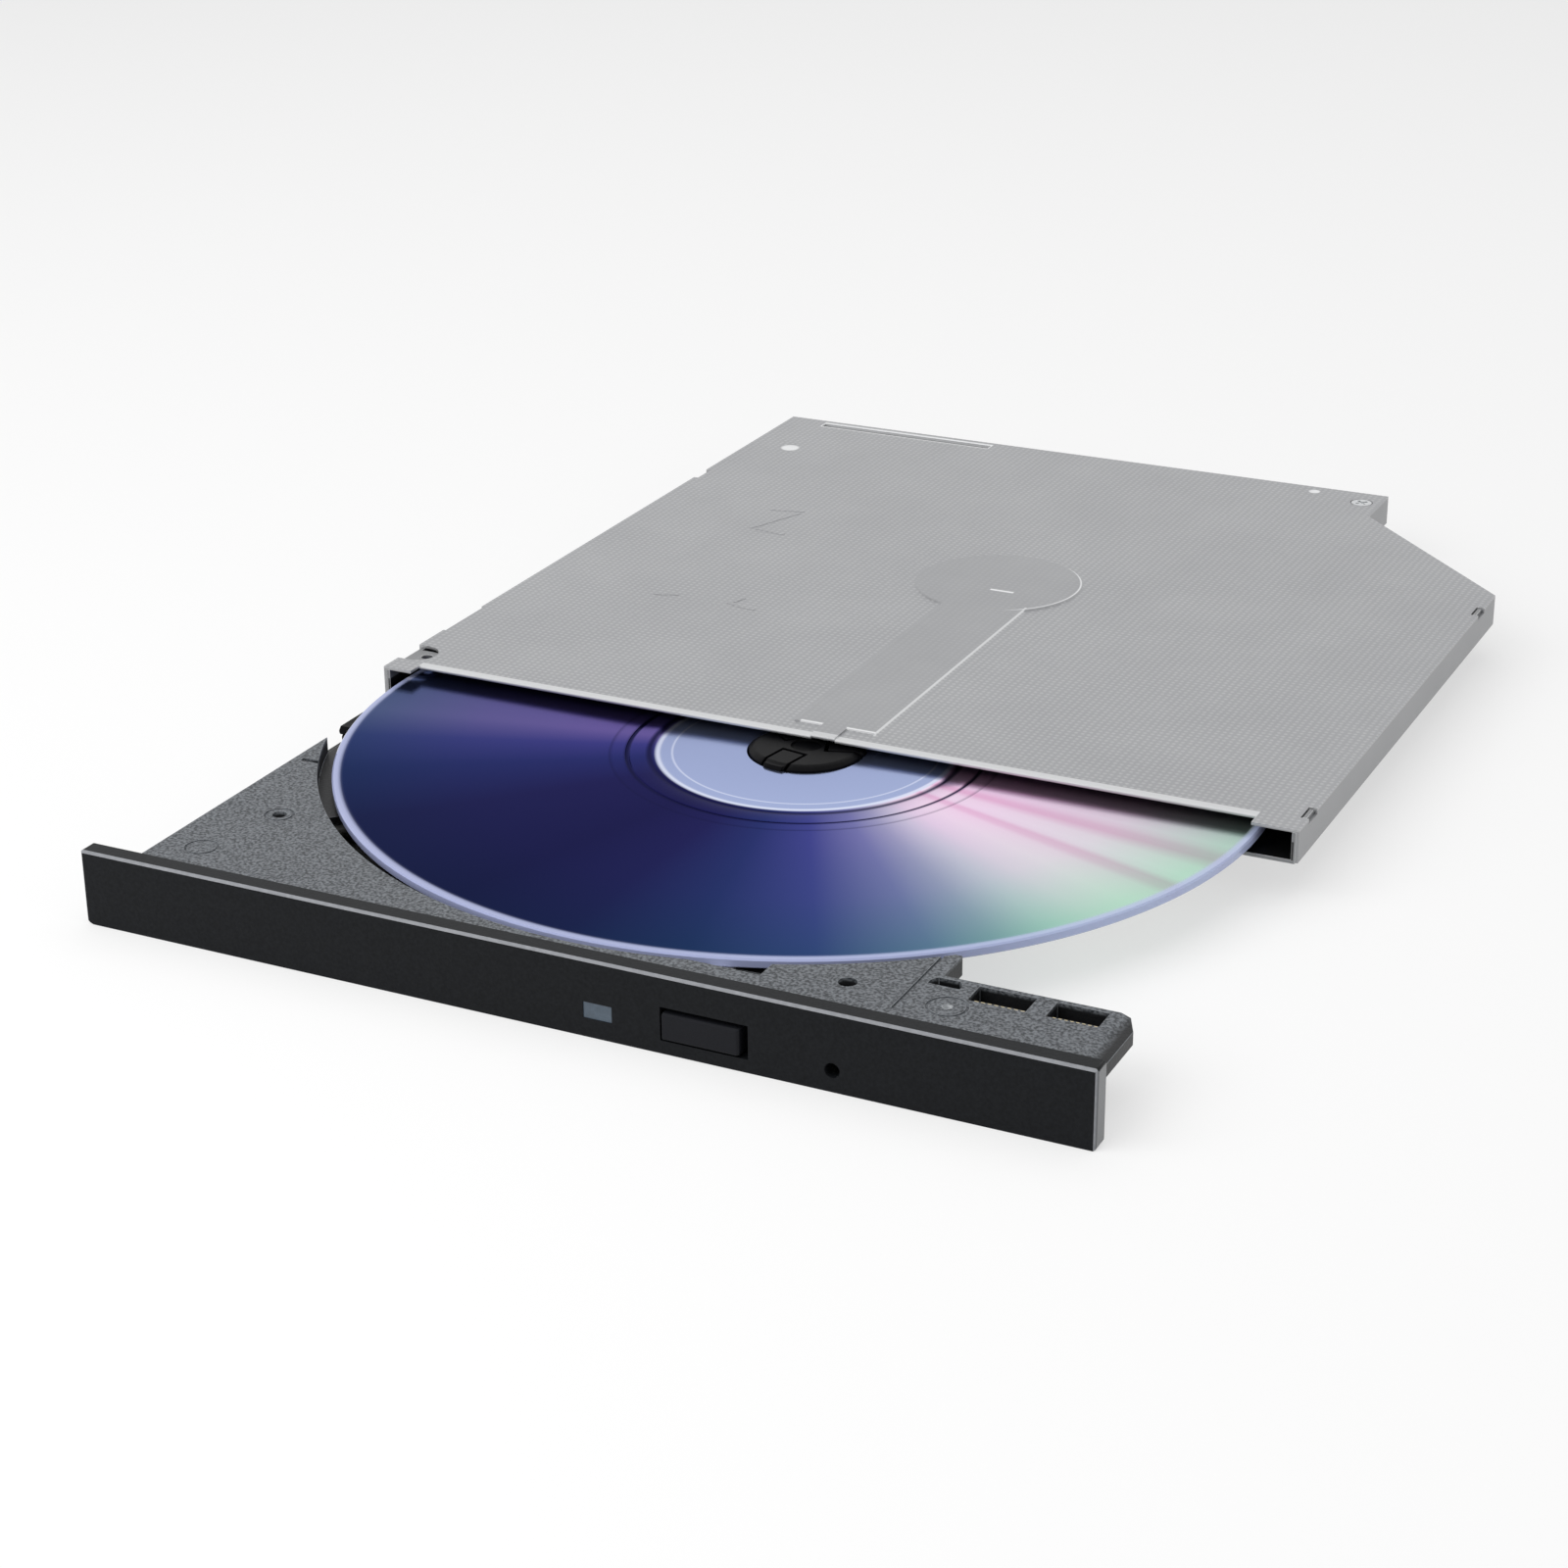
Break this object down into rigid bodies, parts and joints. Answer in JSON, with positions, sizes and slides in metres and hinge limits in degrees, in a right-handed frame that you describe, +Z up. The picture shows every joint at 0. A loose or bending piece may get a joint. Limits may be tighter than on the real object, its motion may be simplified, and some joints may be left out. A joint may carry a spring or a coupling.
{
  "type": "internal dvd writer",
  "caption": "Slim internal DVD writer with its tray about half open, a disc on the hub, a dark plain bezel with an eject button, and a bare steel housing with a raised channel in its cover.",
  "frame": {"origin": "centre of the housing's underside, on the surface the drive lies on", "axes": "+X to the right when the bezel is looked at from the front, +Y from the bezel to the rear connector, +Z up, through the cover"},
  "size_m": [0.128, 0.1927, 0.0095],
  "materials": {
    "cover_steel": "zinc-coated steel sheet with fine coined dots",
    "sheet_steel": "plain zinc-coated steel sheet",
    "deck_steel": "pressed steel and cast metal",
    "bright_steel": "turned bright steel",
    "dark_steel": "blackened steel",
    "tray_plastic": "dark grey moulded plastic with a spark-eroded grain",
    "bezel_plastic": "near-black moulded plastic, satin",
    "button_plastic": "near-black moulded plastic",
    "black_acetal": "black acetal",
    "smoked_window": "smoked translucent plastic",
    "ivory_plastic": "ivory acetal",
    "foam": "white foam",
    "rubber": "soft black rubber",
    "solder_mask": "green solder mask",
    "chip_epoxy": "black epoxy",
    "copper": "enamelled copper wire",
    "bronze": "sintered bronze",
    "brass": "tinned brass",
    "cable": "polyester flat cable",
    "lens": "coated lens",
    "disc": "clear polycarbonate over a violet dye layer, iridescent"
  },
  "bodies": {
    "chassis": {"bottom_chassis": "sheet_steel", "top_cover": "cover_steel", "cover_screw": "bright_steel", "mount_bracket": "sheet_steel", "left_guide": "black_acetal", "right_guide": "black_acetal", "guide_screws": "dark_steel", "latch_post": "sheet_steel", "rear_board": "solder_mask", "rear_board_screws": "bright_steel", "sata_connector": "bezel_plastic", "rear_flex_socket": "ivory_plastic", "flex_cable": "cable", "ejector_housing": "black_acetal"},
    "ejector": {"ejector_pin": "ivory_plastic"},
    "rail_left": {"left_rail": "black_acetal"},
    "rail_right": {"right_rail": "black_acetal"},
    "tray_unit": {"tray": "tray_plastic", "bezel": "bezel_plastic", "light_pipe": "smoked_window", "status_led": "ivory_plastic", "button_board": "solder_mask", "eject_switch": "black_acetal", "ear_combs": "brass", "disc_edge_pad": "foam", "tray_bottom_plate": "deck_steel", "tray_screws": "bright_steel", "control_board": "solder_mask", "control_chips": "chip_epoxy", "tray_flex_socket": "ivory_plastic", "control_board_screws": "bright_steel", "traverse_deck": "deck_steel", "damper_rubbers": "rubber", "damper_screws": "bright_steel", "main_guide_shaft": "bright_steel", "second_guide_shaft": "bright_steel", "feed_motor": "sheet_steel", "motor_base": "deck_steel", "spindle_bearing": "bronze", "spindle_stator": "copper", "motor_screws": "bright_steel", "latch_spring": "bright_steel", "latch_solenoid": "copper"},
    "button": {"eject_button": "button_plastic"},
    "screw": {"lead_screw": "bright_steel"},
    "sled": {"pickup_sled": "deck_steel", "laser_diode": "brass", "actuator_magnets": "dark_steel"},
    "lens": {"lens_holder": "black_acetal", "objective_lens": "lens"},
    "spindle": {"rotor": "sheet_steel", "spindle_shaft": "bright_steel", "turntable": "black_acetal", "friction_ring": "rubber", "hub_cap": "black_acetal", "dvd_disc": "disc"},
    "latch": {"latch_lever": "ivory_plastic"},
    "plunger": {"solenoid_plunger": "bright_steel"},
    "slider": {"emergency_slider": "ivory_plastic"}
  },
  "joints": [
    {"name": "tray_slide", "type": "slide", "parent": "chassis", "child": "tray_unit", "axis": [0, -1, 0], "range_m": [-0.0634, 0.0616], "deforming": ["flex_cable"]},
    {"name": "left_rail_slide", "type": "slide", "parent": "chassis", "child": "rail_left", "axis": [0, -1, 0], "range_m": [-0.0318, 0.0309]},
    {"name": "right_rail_slide", "type": "slide", "parent": "chassis", "child": "rail_right", "axis": [0, -1, 0], "range_m": [-0.0318, 0.0309]},
    {"name": "ejector_push", "type": "slide", "parent": "chassis", "child": "ejector", "axis": [0, 1, 0], "range_m": [0, 0.008], "stiffness_N_per_m": 60},
    {"name": "button_press", "type": "slide", "parent": "tray_unit", "child": "button", "axis": [0, 1, 0], "range_m": [0, 0.0006], "stiffness_N_per_m": 150},
    {"name": "disc_spin", "type": "hinge", "parent": "tray_unit", "child": "spindle", "pos_m": [-0.0015, -0.06175, 0.006], "axis": [0, 0, 1], "continuous": true},
    {"name": "sled_slide", "type": "slide", "parent": "tray_unit", "child": "sled", "axis": [-0.6428, -0.766, 0], "range_m": [-0.016, 0.018]},
    {"name": "lead_screw_turn", "type": "hinge", "parent": "tray_unit", "child": "screw", "pos_m": [0.01214, -0.07319, 0.003], "axis": [-0.6428, -0.766, 0], "continuous": true},
    {"name": "lens_focus", "type": "slide", "parent": "sled", "child": "lens", "axis": [0, 0, 1], "range_m": [-0.0003, 0.0003], "stiffness_N_per_m": 20},
    {"name": "plunger_slide", "type": "slide", "parent": "tray_unit", "child": "plunger", "axis": [-1, 0, 0], "range_m": [0, 0.0016], "stiffness_N_per_m": 60},
    {"name": "latch_turn", "type": "hinge", "parent": "tray_unit", "child": "latch", "pos_m": [0.025, -0.10395, 0.003], "axis": [0, 0, -1], "range_deg": [0, 12.5]},
    {"name": "slider_push", "type": "slide", "parent": "tray_unit", "child": "slider", "axis": [0, 1, 0], "range_m": [0, 0.0014], "stiffness_N_per_m": 40}
  ],
  "couplings": [
    {"joint": "left_rail_slide", "follows": "tray_slide", "ratio": 0.5},
    {"joint": "right_rail_slide", "follows": "tray_slide", "ratio": 0.5},
    {"joint": "lead_screw_turn", "follows": "sled_slide", "rad_per_m": 2094.4},
    {"joint": "latch_turn", "follows": "plunger_slide", "rad_per_m": 133.33}
  ]
}
